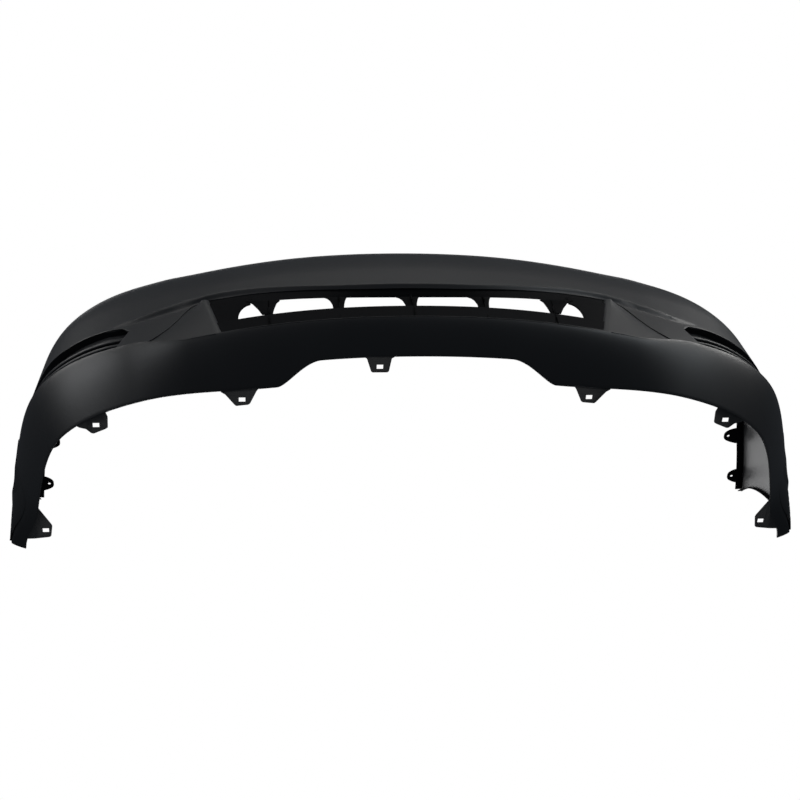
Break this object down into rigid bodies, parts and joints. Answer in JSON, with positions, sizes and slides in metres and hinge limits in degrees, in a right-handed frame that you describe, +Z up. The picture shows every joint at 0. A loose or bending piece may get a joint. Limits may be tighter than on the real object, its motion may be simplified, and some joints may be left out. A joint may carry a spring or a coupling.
{
  "type": "front bumper cover",
  "caption": "Front bumper cover with a bowed face, a wide lower intake with ties, slatted corner vents, and wings that run back to the wheel arches",
  "frame": {"origin": "middle of the bounding box in plan, at the lowest edge", "axes": "+Z up as fitted to the car, -Y forward, X across the car"},
  "size_m": [1.8182, 0.6766, 0.5155],
  "materials": {
    "primed_skin": "satin black primer",
    "moulded_black": "bare moulded black",
    "vent_black": "satin black"
  },
  "bodies": {
    "root": {"cover_skin": "primed_skin", "intake_floor": "moulded_black", "intake_roof": "moulded_black", "intake_tie_1": "moulded_black", "intake_tie_2": "moulded_black", "intake_tie_3": "moulded_black", "intake_tie_4": "moulded_black", "intake_tie_5": "moulded_black", "left_arch_lip": "moulded_black", "left_corner_tab": "primed_skin", "left_fender_flange": "moulded_black", "left_foot_tab": "primed_skin", "left_intake_panel": "moulded_black", "left_intake_wall": "primed_skin", "left_shield_tab": "primed_skin", "left_vent_louvre": "vent_black", "middle_shield_tab": "primed_skin", "right_arch_lip": "moulded_black", "right_corner_tab": "primed_skin", "right_fender_flange": "moulded_black", "right_foot_tab": "primed_skin", "right_intake_panel": "moulded_black", "right_intake_wall": "primed_skin", "right_shield_tab": "primed_skin", "right_vent_louvre": "vent_black", "upper_mounting_flange": "moulded_black"}
  },
  "joints": []
}
